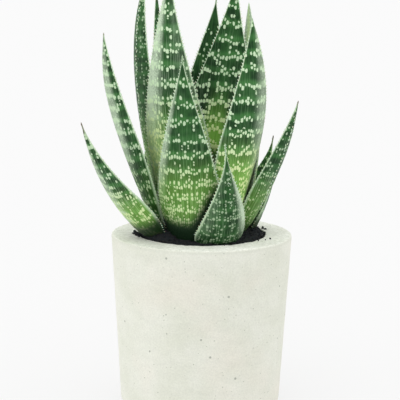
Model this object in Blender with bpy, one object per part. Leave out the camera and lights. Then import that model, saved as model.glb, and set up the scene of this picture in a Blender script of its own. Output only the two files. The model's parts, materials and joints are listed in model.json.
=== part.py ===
"""A spotted aloe vera standing in a thick round pot of cast concrete.

Everything is in metres. +Z is up, -Y is the side seen from the front, and the origin is the middle of
the pot's flat underside. An azimuth is in degrees: 0 points to the right (+X), 90 to the back (+Y).
"""

import math
from dataclasses import dataclass

import bmesh
import bpy
import numpy as np
from mathutils import Vector

# Pot: a turned cup with a thick wall
POT_HEIGHT = 0.095
RIM_RADIUS = 0.050
BASE_RADIUS = 0.0445
WALL = 0.015
FLOOR = 0.014
OPENING_RADIUS = RIM_RADIUS - WALL
HOLLOW_FOOT_RADIUS = 0.030
EDGE_ROUNDING = 0.0022
POT_STEPS = 64
MERGE_DISTANCE = 1e-6

# Soil: it fills the pot to just below the rim, with a bed for the plant and a hole for its stem
GAP = 0.0003
SOIL_RIM_DROP = 0.0007
BED_RADIUS = 0.0326
BED_DEPTH = 0.0036
STEM_HOLE_RADIUS = 0.0058
STEM_HOLE_DEPTH = 0.024
SOIL_STEPS = 48
SOIL_Z = POT_HEIGHT - SOIL_RIM_DROP
BED_Z = SOIL_Z - BED_DEPTH

# Stem: the short crown that the leaves grow round
STEM_RADIUS = STEM_HOLE_RADIUS - GAP
STEM_TOP_RADIUS = 0.0030
STEM_RISE = 0.007
STEM_CHAMFER = 0.001
STEM_STEPS = 20

# Leaves: a thick blade, hollowed on the inner face and keeled on the outer one
RING_SPACING = 0.0088
FEWEST_RINGS = 5
SPINE_STEPS = 240
SEATING_PASSES = 3
INNER_SHARE = 0.22
FOOT_THICKNESS = 0.62
FOOT_THICKENS_OVER = 0.18
TIP_THINNING = 0.90
TIP_POWER = 1.3
TAPER_POWER = 2.2
KEEL = 0.5
KEEL_FROM = 0.25
KEEL_RUN = 0.35
RIDGE_SHARPNESS = 0.65
CLASP_OPENING = 0.060
TIP_SHARE = 0.988
TIP_HALF_WIDTH = 0.0005
THINNEST = 0.0008
THICKNESS_PER_HALF_WIDTH = 1.1
THICKNESS_SPARE = 0.0002
# Angles round a leaf's section, from one margin over the inner face to the other and back outside
SECTION_ANGLES = (0, 42, 90, 138, 180, 212, 242, 270, 298, 328)
LEFT_MARGIN = SECTION_ANGLES.index(180)
RIGHT_MARGIN = SECTION_ANGLES.index(0)

# Teeth: small soft points along both margins
TEETH_PER_RING = 3
TOOTH_HEIGHT = 0.0011
TOOTH_LEAN = 0.0005
TOOTH_FULL_WIDTH = 0.004

POT_SHARP_DEGREES = 40
LEAF_SHARP_DEGREES = 60


@dataclass(frozen=True)
class Leaf:
    """One leaf: where it grows, how far it reaches and how broad it is.

    foot is the azimuth and the distance from the stem's axis where it stands, and tip is its point.
    bow is how far its low and its high part swing out towards bow_azimuth. face is the azimuth that its
    outer side looks to, at the foot and at the tip. belly is the share of its length where it is
    broadest, foot_share its width at the foot against that, and clasp the radius that its foot is
    rolled to round its neighbours.
    """

    name: str
    foot: tuple
    tip: tuple
    bow_azimuth: float
    bow: tuple
    face: tuple
    width: float
    thickness: float
    belly: float = 0.40
    foot_share: float = 0.60
    taper: float = 1.6
    clasp: float = 0.020
    swerve: float = 0.0


LEAVES = (
    Leaf("leaf_outer_left", (208, 0.0250), (-0.0630, -0.0380, 0.1600), 216, (0.0066, 0.0084),
         (216, 216), 0.0265, 0.0075, belly=0.45, foot_share=0.34, clasp=0.022),
    Leaf("leaf_middle_left", (187, 0.0182), (-0.0530, -0.0140, 0.2050), 195, (0.0050, 0.0108),
         (181, 222), 0.0275, 0.0064, belly=0.54, foot_share=0.30, taper=1.2),
    Leaf("leaf_tall_left", (148, 0.0162), (-0.0325, 0.0100, 0.2310), 170, (0.0080, 0.0150),
         (190, 212), 0.0288, 0.0074, belly=0.50, foot_share=0.34, taper=0.9, clasp=0.018),
    Leaf("leaf_narrow_rear_left", (113, 0.0208), (-0.0270, 0.0330, 0.2300), 126, (0.0070, 0.0092),
         (128, 140), 0.0172, 0.0055, belly=0.50, foot_share=0.36, taper=1.15, clasp=0.018),
    Leaf("leaf_tall_front", (234, 0.0090), (-0.0180, -0.0180, 0.2430), 222, (0.0100, 0.0100),
         (241, 248), 0.0330, 0.0080, belly=0.48, foot_share=0.42, taper=1.55, clasp=0.016),
    Leaf("leaf_front", (257, 0.0216), (-0.0110, -0.0340, 0.1950), 258, (0.0060, 0.0080),
         (257, 262), 0.0325, 0.0080, belly=0.34, foot_share=0.74, taper=1.45),
    Leaf("leaf_front_low", (291, 0.0264), (0.0115, -0.0400, 0.1500), 295, (0.0050, 0.0060),
         (295, 295), 0.0282, 0.0077, belly=0.12, foot_share=0.90, taper=2.4, clasp=0.022,
         swerve=-0.002),
    Leaf("leaf_tall_broad", (77, 0.0084), (0.0185, 0.0200, 0.2400), 80, (0.0030, 0.0067),
         (80, 92), 0.0375, 0.0075, belly=0.48, foot_share=0.42, taper=1.7, clasp=0.018),
    Leaf("leaf_tall_rear", (95, 0.0154), (0.0070, 0.0380, 0.2230), 100, (0.0075, 0.0090),
         (92, 90), 0.0290, 0.0065, belly=0.54, foot_share=0.40, taper=1.3, clasp=0.018),
    Leaf("leaf_tall_right", (324, 0.0134), (0.0250, -0.0220, 0.2140), 312, (0.0062, 0.0144),
         (332, 302), 0.0312, 0.0074, belly=0.54, foot_share=0.24, taper=1.15, clasp=0.018),
    Leaf("leaf_narrow_rear_right", (28, 0.0204), (0.0250, 0.0260, 0.2210), 13, (0.0110, 0.0036),
         (30, 42), 0.0186, 0.0050, belly=0.60, foot_share=0.36, taper=0.9, clasp=0.018),
    Leaf("leaf_outer_right", (5, 0.0177), (0.0510, -0.0120, 0.1700), 342, (0.0033, 0.0055),
         (342, 318), 0.0222, 0.0062, belly=0.44, foot_share=0.18, taper=1.3, clasp=0.022),
    Leaf("leaf_low_right", (25, 0.0272), (0.0405, 0.0110, 0.1300), 4, (0.0020, 0.0035),
         (8, 6), 0.0110, 0.0044, belly=0.30, clasp=0.022),
    Leaf("leaf_rear_right", (58, 0.0242), (0.0400, 0.0225, 0.1470), 29, (0.0045, 0.0092),
         (44, 40), 0.0160, 0.0065, belly=0.35),
    Leaf("leaf_low_rear", (91, 0.0240), (0.0020, 0.0540, 0.1560), 88, (0.0060, 0.0070),
         (90, 88), 0.0250, 0.0075, belly=0.38, clasp=0.022),
    Leaf("leaf_low_rear_left", (138, 0.0240), (-0.0310, 0.0440, 0.1470), 145, (0.0060, 0.0070),
         (145, 145), 0.0260, 0.0075, belly=0.38, clasp=0.022),
    Leaf("leaf_heart_long", (186, 0.0066), (-0.0055, 0.0005, 0.1600), 186, (0.0015, 0.0030),
         (186, 186), 0.0130, 0.0048, clasp=0.012),
    Leaf("leaf_heart_short", (335, 0.0072), (0.0075, -0.0030, 0.1360), 335, (0.0010, 0.0020),
         (335, 335), 0.0150, 0.0046, clasp=0.012),
)

CONCRETE = ("concrete", (0.74, 0.75, 0.66), 0.85)
SOIL = ("potting_soil", (0.012, 0.015, 0.018), 0.95)
LEAF_GREEN = ("leaf_green", (0.045, 0.150, 0.055), 0.50)
STEM_GREEN = ("stem_green", (0.220, 0.320, 0.090), 0.60)


def clear_scene():
    for obj in list(bpy.data.objects):
        bpy.data.objects.remove(obj, do_unlink=True)


def material(finish):
    name, colour, roughness = finish
    made = bpy.data.materials.get(name)
    if made is None:
        made = bpy.data.materials.new(name)
        made.use_nodes = True
        shader = made.node_tree.nodes["Principled BSDF"]
        shader.inputs["Base Color"].default_value = (*colour, 1.0)
        shader.inputs["Roughness"].default_value = roughness
        shader.inputs["Metallic"].default_value = 0.0
        made.diffuse_color = (*colour, 1.0)
    return made


def add_object(bm, name, finish, sharp_degrees=POT_SHARP_DEGREES):
    """Turns a bmesh into a smooth-shaded object of the given finish."""
    bmesh.ops.recalc_face_normals(bm, faces=bm.faces[:])
    mesh = bpy.data.meshes.new(name)
    bm.to_mesh(mesh)
    bm.free()
    mesh.shade_smooth()
    mesh.set_sharp_from_angle(angle=math.radians(sharp_degrees))
    mesh.materials.append(material(finish))
    obj = bpy.data.objects.new(name, mesh)
    bpy.context.scene.collection.objects.link(obj)
    return obj


def turned(profile, steps):
    """Spins a profile of (radius, height) points, both ends on the axis, into a closed solid."""
    bm = bmesh.new()
    corners = [bm.verts.new((radius, 0.0, height)) for radius, height in profile]
    edges = [bm.edges.new(pair) for pair in zip(corners, corners[1:])]
    bmesh.ops.spin(bm, geom=corners + edges, cent=(0, 0, 0), axis=(0, 0, 1),
                   angle=math.tau, steps=steps, use_merge=True)
    bmesh.ops.remove_doubles(bm, verts=bm.verts[:], dist=MERGE_DISTANCE)
    return bm


def rounded(corner, before, after, radius, steps=3):
    """Points of an arc that rounds a profile's corner between its two neighbours."""
    corner, before, after = Vector(corner), Vector(before), Vector(after)
    start = corner + (before - corner).normalized() * radius
    end = corner + (after - corner).normalized() * radius
    shares = [i / steps for i in range(steps + 1)]
    return [tuple(start * (1 - s) ** 2 + corner * 2 * s * (1 - s) + end * s * s) for s in shares]


def make_pot():
    outer_foot = (BASE_RADIUS, 0.0)
    outer_rim = (RIM_RADIUS, POT_HEIGHT)
    inner_rim = (OPENING_RADIUS, POT_HEIGHT)
    hollow_foot = (HOLLOW_FOOT_RADIUS, FLOOR)
    profile = [(0.0, FLOOR)]
    profile += rounded(hollow_foot, (0.0, FLOOR), inner_rim, 2 * EDGE_ROUNDING)
    profile += rounded(inner_rim, hollow_foot, outer_rim, 0.5 * EDGE_ROUNDING, 2)
    profile += rounded(outer_rim, inner_rim, outer_foot, EDGE_ROUNDING)
    profile += rounded(outer_foot, outer_rim, (0.0, 0.0), EDGE_ROUNDING)
    profile.append((0.0, 0.0))
    return add_object(turned(profile, POT_STEPS), "pot", CONCRETE)


def hollow_radius(height):
    """Radius of the pot's hollow at a height above its foot."""
    share = (height - FLOOR) / (POT_HEIGHT - FLOOR)
    return HOLLOW_FOOT_RADIUS + (OPENING_RADIUS - HOLLOW_FOOT_RADIUS) * share


def make_soil():
    """The soil's outside follows the pot's hollow; its top has the bed and the stem's hole."""
    low = FLOOR + GAP
    chamfer = 2 * EDGE_ROUNDING
    hole_foot = BED_Z - STEM_HOLE_DEPTH
    profile = [
        (0.0, low),
        (hollow_radius(low) - GAP - chamfer, low),
        (hollow_radius(low + chamfer) - 2 * GAP, low + chamfer),
        (hollow_radius(SOIL_Z) - 2 * GAP, SOIL_Z),
        (BED_RADIUS, SOIL_Z),
        (BED_RADIUS - 0.5 * GAP, BED_Z),
        (STEM_HOLE_RADIUS, BED_Z),
        (STEM_HOLE_RADIUS, hole_foot),
        (0.0, hole_foot),
    ]
    return add_object(turned(profile, SOIL_STEPS), "soil", SOIL)


def make_stem():
    """A stub that fills the soil's hole and ends in a blunt cone among the heart leaves."""
    low = BED_Z - STEM_HOLE_DEPTH + GAP
    top = SOIL_Z + STEM_RISE
    profile = [
        (0.0, low),
        (STEM_RADIUS - STEM_CHAMFER, low),
        (STEM_RADIUS, low + STEM_CHAMFER),
        (STEM_RADIUS, BED_Z),
        (STEM_TOP_RADIUS, top - STEM_CHAMFER),
        (STEM_TOP_RADIUS - STEM_CHAMFER, top),
        (0.0, top),
    ]
    return add_object(turned(profile, STEM_STEPS), "stem", STEM_GREEN)


def smooth(value):
    value = np.clip(value, 0.0, 1.0)
    return value * value * (3 - 2 * value)


def level(azimuth):
    """Unit vector that lies level and points to an azimuth."""
    return np.array([math.cos(math.radians(azimuth)), math.sin(math.radians(azimuth)), 0.0])


def unit(vectors):
    return vectors / np.linalg.norm(vectors, axis=-1, keepdims=True)


class Spine:
    """The curve down the middle of a leaf, with the way that its faces look along it."""

    def __init__(self, leaf, foot_z):
        share = np.linspace(0, 1, SPINE_STEPS + 1)[:, None]
        azimuth, distance = leaf.foot
        start = level(azimuth) * distance + np.array([0, 0, foot_z])
        end = np.array(leaf.tip)
        chord = end - start
        along = unit(chord)
        out = level(leaf.bow_azimuth)
        out = unit(out - (out @ along) * along)
        aside = np.cross(out, along) * leaf.swerve
        low = start + chord / 3 + out * leaf.bow[0] + aside
        high = start + chord * 2 / 3 + out * leaf.bow[1]
        rest = 1 - share
        near_ends = rest**3 * start + share**3 * end
        self.points = near_ends + 3 * rest * share * (rest * low + share * high)
        turning = 2 * rest * share * (high - low)
        self.along = unit(rest**2 * (low - start) + turning + share**2 * (end - high))
        steps = np.linalg.norm(np.diff(self.points, axis=0), axis=1)
        run = np.concatenate([[0.0], np.cumsum(steps)])
        self.length = run[-1]
        self.run = run / run[-1]
        facing = np.array([level(leaf.face[0] + (leaf.face[1] - leaf.face[0]) * s) for s in self.run])
        self.outward = unit(facing - (facing * self.along).sum(1, keepdims=True) * self.along)
        self.across = np.cross(self.outward, self.along)

    def at(self, share):
        """Point, across and outward at a share of the leaf's length."""
        return tuple(
            np.array([np.interp(share, self.run, values[:, axis]) for axis in range(3)])
            for values in (self.points, self.across, self.outward)
        )


def half_width(leaf, share):
    peak = (1 - leaf.belly**TAPER_POWER) ** leaf.taper
    taper = max(0.0, 1 - share**TAPER_POWER) ** leaf.taper / peak
    if share < leaf.belly:
        taper *= 1 - (1 - leaf.foot_share * peak) * (1 - share / leaf.belly) ** 2
    return max(TIP_HALF_WIDTH, 0.5 * leaf.width * taper)


def section_point(leaf, share, angle):
    """Offsets across the leaf and outwards of one point of its section, in metres."""
    half = half_width(leaf, share)
    foot_gain = FOOT_THICKNESS + (1 - FOOT_THICKNESS) * smooth(share / FOOT_THICKENS_OVER)
    thick = leaf.thickness * foot_gain * (1 - TIP_THINNING * share**TIP_POWER)
    thick = max(THINNEST, min(thick, THICKNESS_PER_HALF_WIDTH * half + THICKNESS_SPARE))
    x = math.cos(math.radians(angle))
    dome = math.sqrt(max(0.0, 1 - x * x))
    keel = KEEL * smooth((share - KEEL_FROM) / KEEL_RUN)
    ridge = (1 - RIDGE_SHARPNESS) * dome * dome + RIDGE_SHARPNESS * (1 - abs(x))
    clasp = half * half / (2 * (leaf.clasp + CLASP_OPENING * share)) * x * x
    if angle < 180:
        face = -INNER_SHARE * thick * dome
    else:
        face = (1 - INNER_SHARE) * thick * ((1 - keel) * dome + keel * ridge)
    return half * x, face - clasp


def ring_points(leaf, spine, share):
    point, across, outward = spine.at(share)
    offsets = [section_point(leaf, share, angle) for angle in SECTION_ANGLES]
    return [Vector(point + across * w + outward * o) for w, o in offsets]


def seated_spine(leaf):
    """The spine with its foot lowered until the leaf's lowest corner rests on the soil's bed."""
    foot_z = BED_Z + GAP
    for _ in range(SEATING_PASSES):
        spine = Spine(leaf, foot_z)
        lowest = min(corner.z for corner in ring_points(leaf, spine, 0.0))
        foot_z += BED_Z + GAP - lowest
    return Spine(leaf, foot_z)


def margin_chain(bm, low, high, across, height):
    """Corners from one ring's margin to the next, with the teeth between them."""
    along = (high.co - low.co).normalized()
    cuts = 2 * TEETH_PER_RING
    chain = [low]
    for i in range(1, cuts):
        place = low.co.lerp(high.co, i / cuts)
        if i % 2:
            place += across * height + along * TOOTH_LEAN * height / TOOTH_HEIGHT
        chain.append(bm.verts.new(place))
    return chain + [high]


def join(bm, left, right):
    """Faces between two chains of corners. One with teeth is fanned to the other's two ends."""
    if len(left) == len(right):
        bm.faces.new(left + right[::-1])
        return
    toothed, plain = (left, right) if len(left) > len(right) else (right, left)
    middle = len(toothed) // 2
    for i, pair in enumerate(zip(toothed, toothed[1:])):
        bm.faces.new((*pair, plain[0] if i < middle else plain[1]))
    bm.faces.new((plain[0], toothed[middle], plain[1]))


def make_leaf(leaf):
    """Rings of the leaf's section, joined by faces that end in teeth at the margins."""
    spine = seated_spine(leaf)
    count = max(FEWEST_RINGS, round(spine.length / RING_SPACING))
    shares = [TIP_SHARE * i / count for i in range(count + 1)]
    bm = bmesh.new()
    rings = [[bm.verts.new(co) for co in ring_points(leaf, spine, share)] for share in shares]
    sides = len(SECTION_ANGLES)
    for i, (low, high) in enumerate(zip(rings, rings[1:])):
        chains = [[a, b] for a, b in zip(low, high)]
        if i > 0:
            across = Vector(spine.at((shares[i] + shares[i + 1]) / 2)[1])
            height = TOOTH_HEIGHT * min(1.0, half_width(leaf, shares[i]) / TOOTH_FULL_WIDTH)
            for corner, way in ((RIGHT_MARGIN, across), (LEFT_MARGIN, -across)):
                chains[corner] = margin_chain(bm, low[corner], high[corner], way, height)
        for j in range(sides):
            join(bm, chains[j], chains[(j + 1) % sides])
    bm.faces.new(rings[0])
    point = bm.verts.new(leaf.tip)
    for a, b in zip(rings[-1], rings[-1][1:] + rings[-1][:1]):
        bm.faces.new((a, b, point))
    bmesh.ops.triangulate(bm, faces=bm.faces[:])
    return add_object(bm, leaf.name, LEAF_GREEN, LEAF_SHARP_DEGREES)


def main():
    clear_scene()
    make_pot()
    make_soil()
    make_stem()
    for leaf in LEAVES:
        make_leaf(leaf)


main()
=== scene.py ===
"""The looks of a potted aloe vera: spotted toothed leaves in a concrete pot of dark soil.

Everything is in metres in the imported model's frame: +Z is up, -Y is the side that the camera sees, and
the origin is the middle of the pot's underside. An azimuth is in degrees: 0 points to +X, 90 to +Y.
"""

import json
import logging
import math
import random
from collections.abc import Callable
from dataclasses import dataclass, field
from enum import Enum
from functools import cache, partial

import bmesh
import bpy
import numpy as np
from mathutils import Matrix, Vector, noise

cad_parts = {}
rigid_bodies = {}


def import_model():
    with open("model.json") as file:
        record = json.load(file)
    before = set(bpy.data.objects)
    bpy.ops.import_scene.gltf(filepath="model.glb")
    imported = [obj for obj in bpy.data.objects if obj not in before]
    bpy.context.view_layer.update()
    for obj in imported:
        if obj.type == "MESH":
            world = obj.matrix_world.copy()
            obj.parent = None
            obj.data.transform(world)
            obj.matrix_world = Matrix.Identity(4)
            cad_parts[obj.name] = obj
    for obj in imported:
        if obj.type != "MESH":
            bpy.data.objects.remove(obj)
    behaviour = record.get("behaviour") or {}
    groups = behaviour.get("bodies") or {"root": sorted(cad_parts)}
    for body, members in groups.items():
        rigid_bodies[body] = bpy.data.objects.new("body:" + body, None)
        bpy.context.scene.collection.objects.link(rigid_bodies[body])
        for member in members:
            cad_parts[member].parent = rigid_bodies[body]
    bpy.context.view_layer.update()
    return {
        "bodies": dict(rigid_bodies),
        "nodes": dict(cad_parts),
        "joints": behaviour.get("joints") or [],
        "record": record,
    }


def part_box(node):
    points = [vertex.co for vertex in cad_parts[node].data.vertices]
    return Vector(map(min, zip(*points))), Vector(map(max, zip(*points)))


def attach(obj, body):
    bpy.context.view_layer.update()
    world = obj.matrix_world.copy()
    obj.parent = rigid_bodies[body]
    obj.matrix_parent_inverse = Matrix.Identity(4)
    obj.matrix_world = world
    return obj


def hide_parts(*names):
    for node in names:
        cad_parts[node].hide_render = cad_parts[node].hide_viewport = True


LOG = logging.getLogger("potted_aloe")
MM = 0.001
BODY = "root"
BMesh = bmesh.types.BMesh
Mesh = bpy.types.Mesh
Piece = bpy.types.Object
Socket = bpy.types.NodeSocket


def linear(code: str) -> tuple[float, float, float, float]:
    """Turns a colour written as an sRGB hex value into the linear values that the shaders take.

    Args:
        code: six hex digits, such as "38603C".

    Returns:
        Linear red, green and blue, and an alpha of 1.
    """
    shares = [int(code[i:i + 2], 16) / 255 for i in (0, 2, 4)]
    red, green, blue = (c / 12.92 if c <= 0.04045 else ((c + 0.055) / 1.055) ** 2.4 for c in shares)
    return red, green, blue, 1.0


def fill(node: bpy.types.Node, sockets: dict | tuple) -> None:
    """Sets or links a node's inputs, given by name, or in their order."""
    for key, value in sockets.items() if isinstance(sockets, dict) else enumerate(sockets):
        if isinstance(value, Socket):
            node.id_data.links.new(value, node.inputs[key])
        else:
            node.inputs[key].default_value = value


def add_node(tree: bpy.types.NodeTree, kind: str, sockets: dict | tuple = (), take: str = "",
             **settings: object) -> Socket:
    """Adds a shader node with its settings, values and links.

    Args:
        tree: the material's node tree.
        kind: the node's type, without the "ShaderNode" that each begins with.
        sockets: values or other nodes' outputs for its inputs. In order, a MapRange takes its value, then
            the range that this has and the range that it gets.
        take: name of the output to give back, where that isn't the first one in use.
        settings: the node's own properties.

    Returns:
        That output.
    """
    node = tree.nodes.new("ShaderNode" + kind)
    for name, value in settings.items():
        setattr(node, name, value)
    fill(node, sockets)
    return node.outputs[take] if take else next(output for output in node.outputs if output.enabled)


def level(azimuth: float) -> np.ndarray:
    """Unit vector that lies level and points to an azimuth."""
    return np.array([math.cos(math.radians(azimuth)), math.sin(math.radians(azimuth)), 0.0])


def unit(vectors: np.ndarray) -> np.ndarray:
    """The vectors with a length of 1."""
    return vectors / np.linalg.norm(vectors, axis=-1, keepdims=True)


def smooth(value: float | np.ndarray) -> float | np.ndarray:
    """Eases a value from 0 to 1, for numbers and arrays alike."""
    value = np.clip(value, 0.0, 1.0)
    return value * value * (3 - 2 * value)


def between(ends: tuple[float, float], share: float) -> float:
    """The value at a share of the way from one end to the other."""
    return ends[0] + (ends[1] - ends[0]) * share


def lumps(place: Vector | tuple[float, float, float], size: float, seed: float = 0.0) -> float:
    """Soft noise from -1 to 1 at a place, with lumps of a real size in metres."""
    return noise.noise(Vector(place) / size + Vector((seed, 2 * seed, -seed)))


def to_mesh(bm: BMesh, name: str) -> Mesh:
    """Turns a bmesh into a mesh and frees it."""
    mesh = bpy.data.meshes.new(name)
    bm.to_mesh(mesh)
    bm.free()
    return mesh


def make_piece(bm: BMesh, name: str, finish: "Finish", slot: str, *nodes: str,
               sharp_degrees: float = 60.0) -> Piece:
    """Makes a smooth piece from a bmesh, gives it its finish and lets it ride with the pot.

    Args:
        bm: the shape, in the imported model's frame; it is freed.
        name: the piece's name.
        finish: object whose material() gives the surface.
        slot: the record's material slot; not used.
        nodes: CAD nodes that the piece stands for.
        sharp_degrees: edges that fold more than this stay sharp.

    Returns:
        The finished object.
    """
    mesh = to_mesh(bm, name)
    mesh.shade_smooth()
    mesh.set_sharp_from_angle(angle=math.radians(sharp_degrees))
    mesh.materials.append(finish.material())
    piece = bpy.data.objects.new(name, mesh)
    bpy.context.scene.collection.objects.link(piece)
    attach(piece, BODY)
    if nodes:
        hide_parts(*nodes)
    LOG.info("%s: %d faces", name, len(mesh.polygons))
    return piece


def scatter(copies: list[tuple[Mesh, Matrix]]) -> BMesh:
    """Puts copies of small meshes in their places, all in one bmesh."""
    bm = bmesh.new()
    for template, place in copies:
        copy = template.copy()
        copy.transform(place)
        bm.from_mesh(copy)
        bpy.data.meshes.remove(copy)
    bmesh.ops.recalc_face_normals(bm, faces=bm.faces[:])
    return bm


def turned(outline: list[Vector], steps: int, ring_step: float = math.inf) -> BMesh:
    """Turns an outline right round the pot's axis.

    Args:
        outline: points at Y = 0, from the axis and back to it.
        steps: how many stretches the turn has.
        ring_step: how long a stretch of the outline may be before it is divided.

    Returns:
        The closed shape.
    """
    bm = bmesh.new()
    corners = [bm.verts.new(point) for point in outline]
    for edge in [bm.edges.new(pair) for pair in zip(corners, corners[1:])]:
        cuts = int(edge.calc_length() / ring_step)
        if cuts:
            bmesh.ops.subdivide_edges(bm, edges=[edge], cuts=cuts)
    bmesh.ops.spin(bm, geom=bm.verts[:] + bm.edges[:], cent=(0, 0, 0), axis=(0, 0, 1), angle=math.tau,
                   steps=steps, use_merge=True)
    bmesh.ops.remove_doubles(bm, verts=bm.verts[:], dist=1e-6)
    bmesh.ops.recalc_face_normals(bm, faces=bm.faces[:])
    bm.normal_update()
    return bm


class Finish:
    """A surface, whose material is made at its first use and kept."""

    NAME = ""

    def material(self) -> bpy.types.Material:
        """The material, with what sockets() gives in its shader."""
        made = bpy.data.materials.get(self.NAME)
        if made is None:
            made = bpy.data.materials.new(self.NAME)
            made.use_nodes = True
            tree = made.node_tree
            fill(tree.nodes["Principled BSDF"], self.sockets(partial(add_node, tree)))
        return made

    def sockets(self, add: Callable[..., Socket]) -> dict:
        """Values and nodes' outputs for the shader's inputs.

        Args:
            add: add_node for this material's tree.

        Returns:
            What goes into each input.
        """
        raise NotImplementedError


@dataclass(frozen=True)
class ConcreteFinish(Finish):
    """Pale cast concrete: matt, faintly mottled, with fine sand and a few open pores."""

    pale: str = "E4E5DA"
    shade: str = "DBDDCF"
    warm: str = "E7E0D4"
    pore: str = "AEB1A5"
    grit: str = "BCBFB0"
    # Colour of the painted shade on the rim's rounded edge.
    edge: str = "D2D4C7"
    scuff: str = "D6D8CD"
    dusty: str = "EBECE4"
    rim: float = 0.095
    scuff_size: float = 1.8 * MM
    mottle_size: float = 22 * MM
    sand_size: float = 0.9 * MM
    pore_spacing: float = 4.6 * MM
    grit_spacing: float = 2.3 * MM
    layer_size: float = 16 * MM
    roughness: float = 0.88

    NAME = "cast_concrete"

    def sockets(self, add: Callable[..., Socket]) -> dict:
        """Cast concrete. Lime bloom makes it pale, and trapped air leaves small grey pits.

        The real sand is finer than a pixel, so it is drawn as coarse as it needs to show.
        """
        place = add("TexCoord", take="Object")
        layered = add("Mapping", {"Vector": place, "Scale": (1.0, 1.0, 5.0)})
        sand = add("TexNoise", {"Vector": place, "Scale": 1 / self.sand_size, "Detail": 3.0,
                                "Roughness": 0.7})
        sanded = add("MapRange", (sand, 0.30, 0.70, 0.92, 1.05))
        clouds = []
        for where, scale, detail, roughness, spread in (
                (place, 1 / self.mottle_size, 5.0, 0.62, (0.36, 0.66)),
                (place, 0.6 / self.mottle_size, 2.0, 0.50, (0.52, 0.74, 0.0, 0.45)),
                (layered, 1 / self.layer_size, 3.0, 0.50, (0.35, 0.65, 0.985, 1.01)),
                (place, 1 / self.scuff_size, 4.0, 0.70, (0.40, 0.60))):
            cloud = add("TexNoise", {"Vector": where, "Scale": scale, "Detail": detail,
                                     "Roughness": roughness})
            clouds.append(add("MapRange", (cloud, *spread)))
        mottled, warmed, lined, scuffed = clouds
        height = add("SeparateXYZ", (place,), "Z")
        # Painted shade round the rim's rounded edge, so that it shows no bright lit line.
        on_edge = add("MapRange", (height, self.rim - 2.4 * MM, self.rim - 1.0 * MM, 0.0, 0.8))
        on_top = add("MapRange", (height, self.rim - 0.7 * MM, self.rim - 0.1 * MM))
        top_colour = add("Mix", {"Factor": scuffed, "A": linear(self.scuff), "B": linear(self.dusty)},
                         data_type="RGBA")
        colour = linear(self.shade)
        for share, over in ((mottled, linear(self.pale)), (warmed, linear(self.warm)),
                            (on_edge, linear(self.edge)), (on_top, top_colour)):
            colour = add("Mix", {"Factor": share, "A": colour, "B": over}, data_type="RGBA")
        pits = None
        for spacing, often, code in ((self.pore_spacing, 0.14, self.pore),
                                     (self.grit_spacing, 0.60, self.grit)):
            distance = add("TexVoronoi", {"Vector": place, "Scale": 1 / spacing, "Randomness": 1.0})
            draw = add("SeparateColor", (distance.node.outputs["Color"],))
            here = add("Math", (draw, often), operation="LESS_THAN")
            width = add("MapRange", (draw.node.outputs["Green"], 0.0, 1.0, 0.06, 0.16))
            inside = add("Math", (width, distance), operation="SUBTRACT")
            soft = add("MapRange", (inside, -0.015, 0.035))
            spot = add("Math", (soft, here), operation="MULTIPLY")
            pits = pits or spot
            colour = add("Mix", {"Factor": spot, "A": colour, "B": linear(code)}, data_type="RGBA")
        for share in (sanded, lined):
            colour = add("Mix", {"Factor": 1.0, "A": colour, "B": share}, data_type="RGBA",
                         blend_type="MULTIPLY")
        rough = add("Math", (sand, 0.5), operation="MULTIPLY")
        relief = add("Math", (rough, pits), operation="SUBTRACT")
        bump = add("Bump", {"Strength": 0.35, "Distance": 0.25 * MM, "Height": relief})
        return {"Base Color": colour, "Roughness": self.roughness, "Specular IOR Level": 0.35, "Normal": bump}


@dataclass(frozen=True)
class SoilFinish(Finish):
    """Moist peat-based potting soil, close to black."""

    dark: str = "1D2226"
    brown: str = "332F2B"
    grain: float = 1.4 * MM
    roughness: float = 0.95

    NAME = "potting_soil"

    def sockets(self, add: Callable[..., Socket]) -> dict:
        """Potting soil. It is moist, so it drinks the light and shows only a little brown."""
        place = add("TexCoord", take="Object")
        grain = add("TexNoise", {"Vector": place, "Scale": 1 / self.grain, "Detail": 4.0, "Roughness": 0.7})
        share = add("MapRange", (grain, 0.45, 0.75))
        colour = add("Mix", {"Factor": share, "A": linear(self.dark), "B": linear(self.brown)},
                     data_type="RGBA")
        bump = add("Bump", {"Strength": 0.8, "Distance": 0.5 * MM, "Height": grain})
        return {"Base Color": colour, "Roughness": self.roughness, "Specular IOR Level": 0.2, "Normal": bump}


@dataclass(frozen=True)
class ToothFinish(Finish):
    """Gristly white teeth and beads, a little translucent."""

    white: str = "E6F0DD"
    green: str = "B4CFA6"
    cloud_size: float = 2 * MM
    roughness: float = 0.45

    NAME = "leaf_gristle"

    def sockets(self, add: Callable[..., Socket]) -> dict:
        """Leaf gristle: hard pale tissue along the margins, cloudy green and white."""
        place = add("TexCoord", take="Object")
        cloud = add("TexNoise", {"Vector": place, "Scale": 1 / self.cloud_size, "Detail": 2.0})
        colour = add("Mix", {"Factor": cloud, "A": linear(self.green), "B": linear(self.white)},
                     data_type="RGBA")
        return {"Base Color": colour, "Roughness": self.roughness, "Subsurface Weight": 0.15,
                "Subsurface Scale": 0.5 * MM}


@dataclass(frozen=True)
class StemFinish(Finish):
    """The pale green fibrous crown between the leaf feet."""

    green: str = "7E9A55"
    pale: str = "A9B77E"
    fibre: float = 0.8 * MM
    roughness: float = 0.6

    NAME = "aloe_stem"

    def sockets(self, add: Callable[..., Socket]) -> dict:
        """Living stem: pale green, with fibres that run up it."""
        place = add("TexCoord", take="Object")
        drawn = add("Mapping", {"Vector": place, "Scale": (1.0, 1.0, 0.12)})
        fibres = add("TexNoise", {"Vector": drawn, "Scale": 1 / self.fibre, "Detail": 3.0})
        colour = add("Mix", {"Factor": fibres, "A": linear(self.green), "B": linear(self.pale)},
                     data_type="RGBA")
        bump = add("Bump", {"Strength": 0.4, "Distance": 0.3 * MM, "Height": fibres})
        return {"Base Color": colour, "Roughness": self.roughness, "Normal": bump}


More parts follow.
